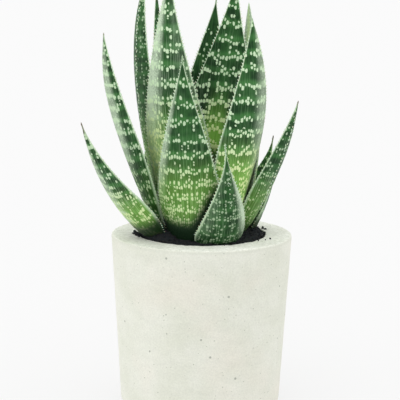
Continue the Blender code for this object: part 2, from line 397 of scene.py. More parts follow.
@dataclass(frozen=True)
class LeafFinish(Finish):
    """Aloe leaf skin: thick dark green cuticle, pale flecks in bands and a waxy coat on the flanks, partly
    painted sheen; the yellow-green foot is partly painted light, and the dark feet and inner margins are
    painted shade.

    The mesh carries what the pattern needs: the UV map "Flecks" counts places for flecks across the
    leaf and rows of them along it, three rows to a band, "Skin" holds metres across and along, and each
    attribute is a share, which is 1 at full strength.
    """

    deep: str = "123816"
    mid: str = "40783C"
    # Yellow-green of the foot, partly the leaf's own colour and partly painted light.
    glow: str = "84BA50"
    fleck: str = "C8E1BB"
    young_fleck: str = "E2F2AC"
    # Paleness of the flanks, partly their waxy coat and partly painted sheen.
    bloom_and_sheen: str = "BDD0B5"
    young_bloom_and_sheen: str = "C2DE9C"
    margin: str = "C4DCB8"
    tip: str = "5A3A28"
    # Colour of the painted shade on the feet and on the inner faces' low margins.
    foot: str = "142A17"
    jitter: float = 0.34
    raggedness: float = 0.75
    second_row: float = 0.42
    stripe_width: float = 0.8 * MM
    stripe_length: float = 14 * MM
    cloud_size: float = 9 * MM
    grain_size: float = 0.9 * MM
    roughness: float = 0.52

    NAME = "aloe_leaf_skin"
    SHARES = ("glow", "bloom_and_sheen", "margin_line", "brown_tip", "painted_foot_shade", "pale", "streaks", "ribs", "shade",
              "banding", "fleck_strength", "fleck_size", "fleck_tall", "flecks_between", "flecks_in_bands")

    def flecks(self, add: Callable[..., Socket], places: Socket, clouds: Socket, wander: Socket,
               shares: dict[str, Socket]) -> Socket:
        """Soft upright ovals, one to each place that has one.

        Args:
            add: add_node for this material's tree.
            places: the "Flecks" coordinates.
            clouds: slow noise that thins the flecks out here and there.
            wander: fine noise colour that makes the ovals' outlines uneven.
            shares: the painted shares.

        Returns:
            Socket with 1 inside a fleck and 0 outside.
        """
        across = add("SeparateXYZ", (places,))
        rows = across.node.outputs["Y"]
        column = add("Math", (across,), operation="FLOOR")
        # A strip is one place wide and one band high. Its flecks stand a little higher or lower together.
        band = add("Math", (rows, 1 / 3, -1 / 6), operation="MULTIPLY_ADD")
        band = add("Math", (band,), operation="FLOOR")
        strip = add("CombineXYZ", (column, band, 31.0))
        lift = add("TexWhiteNoise", (strip,), noise_dimensions="3D")
        lift = add("MapRange", (lift, 0.0, 1.0, -0.5 * self.raggedness, 0.5 * self.raggedness))
        along = add("Math", (rows, lift), operation="ADD")
        row = add("Math", (along,), operation="FLOOR")
        cell = add("CombineXYZ", (column, row))
        draw = add("TexWhiteNoise", (cell,), "Color", noise_dimensions="2D")
        drawn = add("SeparateColor", (draw,)).node.outputs
        turn = add("Math", (row, 3.0), operation="FLOORED_MODULO")
        main_row = add("Math", (turn, 1.0, 0.1), operation="COMPARE")
        next_row = add("Math", (turn, 2.0, 0.1), operation="COMPARE")
        share = add("Math", (next_row, self.second_row, main_row), operation="MULTIPLY_ADD")
        room = add("Math", (shares["fleck_tall"], -1.7, 0.9), operation="MULTIPLY_ADD")
        offsets = []
        for place, number, reach, loose in ((across, 0, 0.46, self.jitter),
                                            (along, 1, shares["fleck_tall"], room)):
            inside = add("Math", (place,), operation="FRACT")
            centred = add("Math", (inside, 0.5), operation="SUBTRACT")
            swing = add("Math", (drawn[number], 0.5), operation="SUBTRACT")
            swung = add("Math", (swing, loose), operation="MULTIPLY")
            moved = add("Math", (centred, swung), operation="SUBTRACT")
            offsets.append(add("Math", (moved, reach), operation="DIVIDE"))
        away = add("CombineXYZ", tuple(offsets))
        shake = add("VectorMath", (wander, (0.5, 0.5, 0.5)), operation="SUBTRACT")
        shake = add("VectorMath", (shake, (0.9, 0.9, 0.0)), operation="MULTIPLY")
        away = add("VectorMath", (away, shake), operation="ADD")
        distance = add("VectorMath", (away,), "Value", operation="LENGTH")
        radius = add("MapRange", (drawn[2], 0.0, 1.0, 0.66, 1.22))
        grown = add("Math", (share, 0.25, 0.80), operation="MULTIPLY_ADD")
        for factor in (shares["fleck_size"], grown):
            radius = add("Math", (radius, factor), operation="MULTIPLY")
        edge = add("Math", (radius, distance), operation="SUBTRACT")
        soft = add("MapRange", (edge, -0.16, 0.20), interpolation_type="SMOOTHSTEP")
        chance = add("Mix", {"Factor": share, "A": shares["flecks_between"], "B": shares["flecks_in_bands"]},
                     data_type="FLOAT")
        thinned = add("MapRange", (clouds, 0.35, 0.60, 0.55, 1.1))
        chance = add("Math", (chance, thinned), operation="MULTIPLY")
        lot = add("TexWhiteNoise", (cell, 4.7), noise_dimensions="4D")
        there = add("Math", (lot, chance), operation="LESS_THAN")
        return add("Math", (soft, there), operation="MULTIPLY")

    def sockets(self, add: Callable[..., Socket]) -> dict:
        """Leaf cuticle over soft green flesh. The waxy coat scatters light, and the flanks' paleness is
        partly that coat and partly painted sheen.
        """
        places = add("UVMap", uv_map="Flecks")
        skin = add("UVMap", uv_map="Skin")
        shares = {name: add("Attribute", take="Fac", attribute_name=name) for name in self.SHARES}
        grain = add("TexNoise", {"Vector": skin, "Scale": 1 / self.grain_size, "Detail": 1.0},
                    noise_dimensions="2D")
        clouds = add("TexNoise", {"Vector": skin, "Scale": 1 / self.cloud_size, "Detail": 3.0},
                     noise_dimensions="2D")
        drawn = add("Mapping", {"Vector": skin,
                                "Scale": (1 / self.stripe_width, 1 / self.stripe_length, 1.0)})
        stripes = add("TexNoise", {"Vector": drawn, "Scale": 1.0, "Detail": 3.0}, noise_dimensions="2D")
        fleck = self.flecks(add, places, clouds, grain.node.outputs["Color"], shares)
        # How far a point is from the middle of its band, counted in bands.
        rows = add("SeparateXYZ", (places,), "Y")
        number = add("Math", (rows, 1 / 3, -0.4 / 3), operation="MULTIPLY_ADD")
        where = add("Math", (number,), operation="FRACT")
        from_middle = add("Math", (where, 0.5), operation="SUBTRACT")
        away = add("Math", (from_middle,), operation="ABSOLUTE")
        light_band = add("MapRange", (away, 0.06, 0.36, 0.42, 0.0), interpolation_type="SMOOTHSTEP")
        light_band = add("Math", (light_band, shares["banding"]), operation="MULTIPLY")
        mixed = add("Math", (stripes, 0.5, light_band), operation="MULTIPLY_ADD")
        mixed = add("Math", (clouds, 0.8, mixed), operation="MULTIPLY_ADD")
        greens = add("MapRange", (mixed, 0.50, 1.22))
        striped = add("MapRange", (stripes, 0.34, 0.66, 0.70, 1.15))
        # The glow's share, partly painted light, also turns the pale colours yellow-green.
        glow_share = add("Math", (shares["glow"], 1.7), operation="POWER")
        glowing = add("Math", (glow_share, striped), operation="MULTIPLY", use_clamp=True)
        lines = add("MapRange", (stripes, 0.50, 0.68), interpolation_type="SMOOTHSTEP")
        streaked = add("Math", (shares["streaks"], lines), operation="MULTIPLY", use_clamp=True)
        # Uneven patches in the flanks' paleness and painted sheen.
        patchiness = add("MapRange", (clouds, 0.3, 0.7, 0.7, 1.15))
        grained = add("Math", (stripes, 1.0, 0.5), operation="MULTIPLY_ADD")
        powdery = add("Math", (grain, 1.3, 0.35), operation="MULTIPLY_ADD")
        for factor in (grained, powdery):
            patchiness = add("Math", (patchiness, factor), operation="MULTIPLY")
        wax_and_sheen = add("Math", (shares["bloom_and_sheen"], patchiness), operation="MULTIPLY", use_clamp=True)
        # Painted sheen on the raised bands of the pale flanks.
        rib = add("MapRange", (away, 0.08, 0.20, 1.0, 0.0))
        ribbed = add("Math", (shares["ribs"], rib), operation="MULTIPLY")
        strength = add("Math", (fleck, shares["fleck_strength"]), operation="MULTIPLY")
        fleck_colour = add("Mix", {"Factor": shares["glow"], "A": linear(self.fleck),
                                   "B": linear(self.young_fleck)}, data_type="RGBA")
        wax_and_sheen_colour = add("Mix", {"Factor": glow_share, "A": linear(self.bloom_and_sheen), "B": linear(self.young_bloom_and_sheen)},
                  data_type="RGBA")
        # Layers, lowest first: the glow is partly painted light, the pale flanks and ribs partly painted
        # sheen, and the shade and the dark foot are painted shade.
        colour = linear(self.deep)
        for share, over in ((greens, linear(self.mid)), (glowing, linear(self.glow)),
                            (shares["shade"], linear(self.foot)), (streaked, wax_and_sheen_colour), (wax_and_sheen, wax_and_sheen_colour),
                            (ribbed, linear(self.margin)), (strength, fleck_colour), (shares["pale"], wax_and_sheen_colour),
                            (shares["margin_line"], linear(self.margin)),
                            (shares["brown_tip"], linear(self.tip)),
                            (shares["painted_foot_shade"], linear(self.foot))):
            colour = add("Mix", {"Factor": share, "A": colour, "B": over}, data_type="RGBA")
        dull = add("Math", (wax_and_sheen, 0.14, self.roughness), operation="MULTIPLY_ADD")
        relief = add("Math", (stripes, 0.5, fleck), operation="MULTIPLY_ADD")
        bump = add("Bump", {"Strength": 0.5, "Distance": 0.18 * MM, "Height": relief})
        return {"Base Color": colour, "Roughness": dull, "IOR": 1.45, "Specular IOR Level": 0.22,
                "Normal": bump}


@dataclass(frozen=True)
class FloorFinish(Finish):
    """White seamless studio floor, overexposed so that shadows stay faint."""

    white: str = "FFFFFF"
    own_light: float = 0.68
    albedo: float = 0.20

    NAME = "studio_floor"

    def sockets(self, add: Callable[..., Socket]) -> dict:
        """Matt white board, with some light of its own in place of the studio's bounced light."""
        return {"Base Color": (self.albedo, self.albedo, self.albedo, 1.0), "Roughness": 1.0,
                "Specular IOR Level": 0.0, "Emission Color": linear(self.white),
                "Emission Strength": self.own_light}


class Keel(Enum):
    """What stands along the ridge down a leaf's outer face."""

    PLAIN = "plain"
    BEADED = "beaded"
    TOOTHED = "toothed"


@dataclass(frozen=True)
class Markings:
    """Colour of one leaf.

    Attributes:
        pitch: metres between bands of flecks, at the foot and at the tip.
        first: how far the first band is shifted, in bands.
        flecks: share of places with a fleck in the bands, at the foot and at the tip.
        stray: the same between the bands, at the foot and above the glow.
        size: size of the flecks against their places, at the foot and at the tip.
        dim: how much the flecks sink into the green round them.
        banding: how much lighter the green is in the bands.
        spacing: metres between places across, low down and near the tip.
        glow: yellow-green at the foot, partly the young tissue's own colour and partly painted light: its
        strength and the share of the length it reaches.
        bloom_and_sheen: paleness of the outer face's two flanks, partly their waxy coat and partly painted
            sheen,
        at -across and at +across.
        flank: where the flanks' paleness and painted sheen begin and how soon they are full, in shares of the
        half width from the keel outwards; below 0 they begin on the keel's other side.
        bare: share of the length below which the flanks' paleness and painted sheen fade out.
        ribs: paleness of the bands on the pale flanks, painted sheen that the raised bands catch.
        foot: darkness of the foot, in the shade of its neighbours.
        foot_height: metres that it reaches before it fades.
        lean: metres that this painted shade on the foot reaches higher at -across.
        shade: painted shade on the inner face's low margins, where the neighbouring leaves shadow them.
        streaks: pale lines along the leaf, at the foot and at the tip.
        pale: paleness of the inner face.
        brown: metres of brown at the tip.
        keel: what stands along the ridge.
    """

    pitch: tuple[float, float] = (6 * MM, 9 * MM)
    first: float = 0.0
    flecks: tuple[float, float] = (0.95, 0.75)
    stray: tuple[float, float] = (0.7, 0.05)
    size: tuple[float, float] = (1.1, 0.95)
    dim: float = 0.0
    banding: float = 1.0
    spacing: tuple[float, float] = (1.3 * MM, 1.7 * MM)
    glow: tuple[float, float] = (0.5, 0.35)
    bloom_and_sheen: tuple[float, float] = (0.25, 0.5)
    flank: tuple[float, float] = (0.40, 0.50)
    bare: float = 0.05
    ribs: float = 0.0
    foot: float = 0.6
    foot_height: float = 8 * MM
    lean: float = 0.0
    shade: float = 0.0
    streaks: tuple[float, float] = (0.15, 0.0)
    pale: float = 0.0
    brown: float = 0.0
    keel: Keel = Keel.PLAIN


@dataclass(frozen=True)
class Spine:
    """The curve down a leaf's middle: shares of its length, points, and the ways that its faces look."""

    run: np.ndarray
    points: np.ndarray
    across: np.ndarray
    outward: np.ndarray
    along: np.ndarray
    length: float

    def at(self, share: float, *names: str) -> list[np.ndarray]:
        """The named vectors at a share of the length."""
        return [np.array([np.interp(share, self.run, values) for values in getattr(self, name).T])
                for name in names]


@dataclass(frozen=True)
class AloeLeaf:
    """One leaf, shaped by the same rule as its CAD node and finished more finely.

    foot is the azimuth and the distance from the stem's axis where it stands, and tip is its point.
    bow is how far its low and its high part swing out towards bow_azimuth. face is the azimuth that its
    outer side looks to, at the foot and at the tip. belly is the share of its length where it is
    broadest, foot_share its width at the foot against that, and clasp the radius that its foot is
    rolled to round its neighbours.
    """

    node: str
    foot: tuple[float, float]
    tip: tuple[float, float, float]
    bow_azimuth: float
    bow: tuple[float, float]
    face: tuple[float, float]
    width: float
    thickness: float
    belly: float = 0.40
    foot_share: float = 0.60
    taper: float = 1.6
    clasp: float = 0.020
    swerve: float = 0.0
    marks: Markings = field(default_factory=Markings)

    SIDES = 64
    RING_STEP = 1.0 * MM
    SPINE_STEPS = 400
    SEATING_PASSES = 3
    INNER_SHARE = 0.22
    FOOT_THICKNESS = 0.62
    FOOT_THICKENS_OVER = 0.18
    TIP_THINNING = 0.90
    TIP_POWER = 1.3
    TAPER_POWER = 2.2
    KEEL_HEIGHT = 0.5
    KEEL_FROM = 0.25
    KEEL_RUN = 0.35
    RIDGE_SHARPNESS = 0.65
    CLASP_OPENING = 0.060
    TIP_HALF_WIDTH = 0.0004
    THINNEST = 0.0005
    THICKNESS_PER_HALF_WIDTH = 1.1
    THICKNESS_SPARE = 0.0002
    DENT_HEIGHT = 0.10 * MM
    DENT_SIZE = 7 * MM
    RIB_HEIGHT = 0.05 * MM
    TOOTH_PITCH = 8.8 * MM / 5
    TOOTH_HEIGHT = 1.15 * MM
    TOOTH_FULL_WIDTH = 4 * MM
    FLECK_HALF_HEIGHT = 1.05 * MM
    TALLEST_FLECK = 0.48
    BAND_WAVE = 0.12
    SPACING_RUN = 0.7
    INNER_UV_SHIFT = 0.200
    INNER_PLACES = 100
    SEED_SHIFT = 10 * MM
    TIP_BLOOM_AND_SHEEN = 0.65
    TIP_BLOOM_AND_SHEEN_RUN = 40 * MM
    BARE_FADE_RUN = 0.22
    FOOT_FADE = 9 * MM
    INNER_MIDDLE = -0.12
    MARGIN_LINE = 0.85
    MARGIN_LINE_WIDTHS = (0.05 * MM, 0.45 * MM)
    BROWNNESS = 0.9

    def spine(self, foot_z: float) -> Spine:
        """The curve down the leaf's middle, for a height of its start."""
        share = np.linspace(0, 1, self.SPINE_STEPS + 1)[:, None]
        azimuth, distance = self.foot
        start = level(azimuth) * distance + np.array([0, 0, foot_z])
        end = np.array(self.tip)
        chord = end - start
        along = unit(chord)
        out = level(self.bow_azimuth)
        out = unit(out - (out @ along) * along)
        aside = np.cross(out, along) * self.swerve
        low = start + chord / 3 + out * self.bow[0] + aside
        high = start + chord * 2 / 3 + out * self.bow[1]
        rest = 1 - share
        points = rest**3 * start + share**3 * end + 3 * rest * share * (rest * low + share * high)
        turning = 2 * rest * share * (high - low)
        along = unit(rest**2 * (low - start) + turning + share**2 * (end - high))
        run = np.concatenate([[0.0], np.cumsum(np.linalg.norm(np.diff(points, axis=0), axis=1))])
        length = float(run[-1])
        run = run / length
        facing = np.array([level(between(self.face, s)) for s in run])
        outward = unit(facing - (facing * along).sum(1, keepdims=True) * along)
        return Spine(run, points, np.cross(outward, along), outward, along, length)

    def half_width(self, share: float) -> float:
        """Half the leaf's width at a share of its length."""
        peak = (1 - self.belly**self.TAPER_POWER) ** self.taper
        taper = max(0.0, 1 - share**self.TAPER_POWER) ** self.taper / peak
        if share < self.belly:
            taper *= 1 - (1 - self.foot_share * peak) * (1 - share / self.belly) ** 2
        return max(self.TIP_HALF_WIDTH, 0.5 * self.width * taper)

    def section(self, share: float, angles: np.ndarray) -> tuple[np.ndarray, np.ndarray]:
        """Offsets across and outwards of the leaf's skin.

        Args:
            share: share of the leaf's length.
            angles: angles round the section; 0 is the margin at +across, up to 180 the inner face.

        Returns:
            Offsets across and offsets outwards, in metres.
        """
        half = self.half_width(share)
        gain = self.FOOT_THICKNESS + (1 - self.FOOT_THICKNESS) * smooth(share / self.FOOT_THICKENS_OVER)
        thick = self.thickness * gain * (1 - self.TIP_THINNING * share**self.TIP_POWER)
        thick = max(self.THINNEST, min(thick, self.THICKNESS_PER_HALF_WIDTH * half + self.THICKNESS_SPARE))
        x = np.cos(np.radians(angles))
        dome = np.sqrt(np.maximum(0.0, 1 - x * x))
        keel = self.KEEL_HEIGHT * smooth((share - self.KEEL_FROM) / self.KEEL_RUN)
        ridge = (1 - self.RIDGE_SHARPNESS) * dome * dome + self.RIDGE_SHARPNESS * (1 - np.abs(x))
        clasp = half * half / (2 * (self.clasp + self.CLASP_OPENING * share)) * x * x
        inner = -self.INNER_SHARE * thick * dome
        outer = (1 - self.INNER_SHARE) * thick * ((1 - keel) * dome + keel * ridge)
        return half * x, np.where(angles < 180, inner, outer) - clasp

    def skin(self, spine: Spine, share: float, angles: np.ndarray) -> np.ndarray:
        """Points of the leaf's skin round it at a share of its length."""
        point, across, outward = spine.at(share, "points", "across", "outward")
        w, o = self.section(share, angles)
        return point + w[:, None] * across + o[:, None] * outward

    def seated(self) -> Spine:
        """The spine, with its foot as low as the CAD node's."""
        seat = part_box(self.node)[0].z
        foot_z = seat
        angles = np.linspace(0, 360, self.SIDES, endpoint=False)
        for _ in range(self.SEATING_PASSES):
            foot_z += seat - self.skin(self.spine(foot_z), 0.0, angles)[:, 2].min()
        return self.spine(foot_z)

    def rings(self, length: float) -> int:
        """How many stretches the blade has along it."""
        return max(20, round(length / self.RING_STEP))

    def band_number(self, share: float, length: float) -> float:
        """Number of bands from the foot up to a share of the length."""
        low, high = self.marks.pitch
        if abs(high - low) < 1e-9:
            return length * share / low + self.marks.first
        return length / (high - low) * math.log(between(self.marks.pitch, share) / low) + self.marks.first

    def paint(self, share: float, angle: float, length: float) -> dict[str, float]:
        """The colour shares at one point of the skin.

        Args:
            share: share of the leaf's length.
            angle: angle round the section, in degrees.
            length: the leaf's length in metres.

        Returns:
            Value for each attribute that the leaf's finish reads.
        """
        marks = self.marks
        side = math.cos(math.radians(angle))
        outer = angle > 180
        up = length * share
        down = length - up
        begin, run = marks.flank
        # The glow at the foot is partly the leaf's own yellow-green and partly painted light.
        strength, reach = marks.glow
        glow = strength * smooth((reach - share) / (0.5 * reach))
        bloom_and_sheen = shade = 0.0
        # On the outer face the flanks' paleness is partly their waxy coat and partly painted sheen.
        if outer:
            bloom_and_sheen = max(flank * smooth((way * side - begin) / run)
                        for flank, way in zip(marks.bloom_and_sheen, (-1, 1)))
            bloom_and_sheen *= self.TIP_BLOOM_AND_SHEEN + (1 - self.TIP_BLOOM_AND_SHEEN) * smooth(down / self.TIP_BLOOM_AND_SHEEN_RUN)
            bloom_and_sheen *= smooth((share - marks.bare) / self.BARE_FADE_RUN)
        else:
            # On the inner face the glow keeps to a strip beside the middle: painted light between the shaded
            # margins.
            aside = abs(side - self.INNER_MIDDLE)
            glow *= 1 - smooth((aside - 0.16) / 0.46)
            # Painted shade on the inner face's low margins, where the neighbouring leaves shadow them.
            shade = marks.shade * smooth((aside - 0.14) / 0.30) * (1 - smooth((share - 0.42) / 0.3))
        # Painted shade on the foot, where its neighbours shadow it; it reaches higher at -across.
        foot_height = marks.foot_height + marks.lean * smooth(-side)
        from_margin = self.half_width(share) * (1 - abs(side))
        line_from, line_run = self.MARGIN_LINE_WIDTHS
        return {
            "flecks_in_bands": between(marks.flecks, share),
            "flecks_between": between(marks.stray, smooth(share / reach)),
            "fleck_strength": 1 - marks.dim,
            "banding": marks.banding,
            "fleck_size": between(marks.size, share),
            "fleck_tall": min(self.TALLEST_FLECK, 3 * self.FLECK_HALF_HEIGHT / between(marks.pitch, share)),
            "glow": glow,
            "bloom_and_sheen": bloom_and_sheen,
            "ribs": marks.ribs * bloom_and_sheen,
            "streaks": between(marks.streaks, share),
            "margin_line": self.MARGIN_LINE * (1 - smooth((from_margin - line_from) / line_run)),
            "brown_tip": self.BROWNNESS * (1 - smooth(down / marks.brown)) if marks.brown else 0.0,
            "painted_foot_shade": marks.foot * (1 - smooth((up - foot_height) / self.FOOT_FADE)),
            "shade": shade,
            "pale": 0.0 if outer else marks.pale,
        }

    def build(self) -> None:
        """Makes the leaf's blade, its teeth and what stands on its keel."""
        spine = self.seated()
        self.build_blade(spine)
        self.build_teeth(spine)
        if self.marks.keel is not Keel.PLAIN:
            self.build_keel(spine)

    def build_blade(self, spine: Spine) -> Piece:
        """Wraps a grid round the spine into a closed blade and paints it."""
        length = spine.length
        rings = self.rings(length)
        bm = bmesh.new()
        bmesh.ops.create_grid(bm, x_segments=self.SIDES, y_segments=rings, size=0.5)
        angles = np.linspace(0, 360, self.SIDES + 1)
        points = np.array([self.skin(spine, min(1.0, i / rings), angles) for i in range(rings + 1)])
        steps = np.linalg.norm(np.diff(points, axis=1), axis=2)
        round_it = np.concatenate([np.zeros((rings + 1, 1)), np.cumsum(steps, axis=1)], axis=1)
        half = self.SIDES // 2
        inner_across = round_it[:, half // 2][:, None] - round_it
        outer_across = round_it - round_it[:, half + half // 2][:, None]
        shade = {name: bm.verts.layers.float.new(name) for name in self.paint(0.5, 90.0, length)}
        flecks, skin = (bm.loops.layers.uv.new(name) for name in ("Flecks", "Skin"))
        number, column = (bm.verts.layers.int.new(name) for name in ("ring", "column"))
        for vert in bm.verts:
            vert[column] = round((vert.co.x + 0.5) * self.SIDES)
            vert[number] = round((vert.co.y + 0.5) * rings)
        seed = sum(map(ord, self.node)) % 97
        counts = [self.band_number(i / rings, length) for i in range(rings + 1)]
        for face in bm.faces:
            inner = max(vert[column] for vert in face.verts) <= half
            table = inner_across if inner else outer_across
            for loop in face.loops:
                i, j = loop.vert[number], loop.vert[column]
                across = float(table[i, j])
                wave = self.BAND_WAVE * noise.noise(Vector((across / (8 * MM), counts[i] * 0.9, seed)))
                spacing = between(self.marks.spacing, smooth(i / rings / self.SPACING_RUN))
                place = across / spacing + (self.INNER_PLACES if inner else 0)
                loop[flecks].uv = (place, 3 * (counts[i] + wave + seed) + 0.4)
                aside = seed * self.SEED_SHIFT + (self.INNER_UV_SHIFT if inner else 0)
                loop[skin].uv = (across + aside, length * i / rings + seed * self.SEED_SHIFT)
        for vert in bm.verts:
            i, j = vert[number], vert[column]
            for name, value in self.paint(i / rings, float(angles[j]), length).items():
                vert[shade[name]] = value
            vert.co = self.tip if i == rings else points[i, j]
        bmesh.ops.remove_doubles(bm, verts=bm.verts[:], dist=1e-7)
        bmesh.ops.contextual_create(bm, geom=[edge for edge in bm.edges if edge.is_boundary])
        bmesh.ops.recalc_face_normals(bm, faces=bm.faces[:])
        self.relieve(bm, length, seed)
        return make_piece(bm, self.node + "_blade", LeafFinish(), "leaf", self.node)

    def relieve(self, bm: BMesh, length: float, seed: float) -> None:
        """Gives the skin its low relief: soft dents and faint ribs across at the bands.

        Args:
            bm: the blade.
            length: the leaf's length in metres.
            seed: number that shifts the dents from leaf to leaf.
        """
        number, column = (bm.verts.layers.int[name] for name in ("ring", "column"))
        rings = self.rings(length)
        bm.normal_update()
        for vert in bm.verts:
            share = vert[number] / rings
            if share < 1:
                dome = abs(math.sin(math.tau * vert[column] / self.SIDES))
                rib = math.cos(math.tau * (self.band_number(share, length) - 0.5))
                rise = self.DENT_HEIGHT * lumps(vert.co, self.DENT_SIZE, seed) + self.RIB_HEIGHT * rib
                vert.co += vert.normal * rise * dome * smooth(self.half_width(share) / (6 * MM))

    def build_teeth(self, spine: Spine) -> Piece:
        """Small pale hooked teeth along both margins, as far apart as on the CAD node."""
        rng = random.Random(self.node)
        places = []
        count = int(spine.length / self.TOOTH_PITCH)
        for way, angle in ((1.0, 0.0), (-1.0, 180.0)):
            for i in range(2, count):
                share = (i + 0.5 + rng.uniform(-0.18, 0.18)) / count
                if share > 0.985 or share * spine.length < 6 * MM:
                    continue
                size = max(0.55, min(1.0, self.half_width(share) / self.TOOTH_FULL_WIDTH))
                size *= rng.uniform(0.75, 1.1)
                root, above = (self.skin(spine, at, np.array([angle]))[0] for at in (share, share + 0.004))
                across, outward = spine.at(share, "across", "outward")
                up = unit(above - root)
                side = unit(np.cross(up, outward))
                side = side if side @ across * way > 0 else -side
                root = root - side * 0.25 * MM * size
                frame = Matrix((side, up, np.cross(side, up))).transposed().to_4x4()
                places.append(Matrix.Translation(root) @ frame @ Matrix.Scale(size * self.TOOTH_HEIGHT, 4))
        bm = scatter([(tooth_template(), place) for place in places])
        return make_piece(bm, self.node + "_teeth", ToothFinish(), "leaf")

    def build_keel(self, spine: Spine) -> Piece:
        """Raised white beads, or small teeth, along the ridge down the outer face."""
        rng = random.Random(self.node + "keel")
        toothed = self.marks.keel is Keel.TOOTHED
        first, pitch, reach = (0.45, 2.6 * MM, 2.0) if toothed else (0.30, 2.0 * MM, 4.0)
        template = tooth_template() if toothed else bead_template()
        copies = []
        for i in range(int(spine.length * first / pitch), int(spine.length * 0.97 / pitch)):
            share = (i + rng.uniform(-0.2, 0.2)) * pitch / spine.length
            root = self.skin(spine, share, np.array([270.0 + rng.uniform(-reach, reach)]))[0]
            outward, up = spine.at(share, "outward", "along")
            size = min(1.0, self.half_width(share) / self.TOOTH_FULL_WIDTH) * rng.uniform(0.7, 1.05)
            frame = Matrix((outward, up, np.cross(outward, up))).transposed().to_4x4()
            if toothed:
                shape = Matrix.Scale(0.9 * size * self.TOOTH_HEIGHT, 4)
                root = root - outward * 0.2 * MM
            else:
                shape = Matrix.Diagonal((0.30 * MM * size, 0.75 * MM * size, 0.50 * MM * size, 1.0))
            copies.append((template, Matrix.Translation(root) @ frame @ shape))
        return make_piece(scatter(copies), self.node + "_keel", ToothFinish(), "leaf")


@cache
def tooth_template() -> Mesh:
    """A hooked cone one unit high along +X, that leans to +Y."""
    bm = bmesh.new()
    bmesh.ops.create_cone(bm, cap_ends=True, segments=6, radius1=0.60, radius2=0.07, depth=1.0,
                          matrix=Matrix.Translation((0.5, 0.0, 0.0)) @ Matrix.Rotation(math.pi / 2, 4, "Y"))
    sides = [edge for edge in bm.edges if abs(edge.verts[0].co.x - edge.verts[1].co.x) > 0.5]
    bmesh.ops.subdivide_edges(bm, edges=sides, cuts=2)
    for vert in bm.verts:
        height = vert.co.x
        slim = 1 - 0.35 * math.sin(math.pi * min(1.0, max(0.0, height)))
        vert.co.y = vert.co.y * slim + 0.45 * height * height
        vert.co.z *= slim * 0.6
    return to_mesh(bm, "tooth_template")


@cache
def bead_template() -> Mesh:
    """A rounded bead one unit in radius."""
    bm = bmesh.new()
    bmesh.ops.create_icosphere(bm, subdivisions=2, radius=1.0)
    return to_mesh(bm, "bead_template")


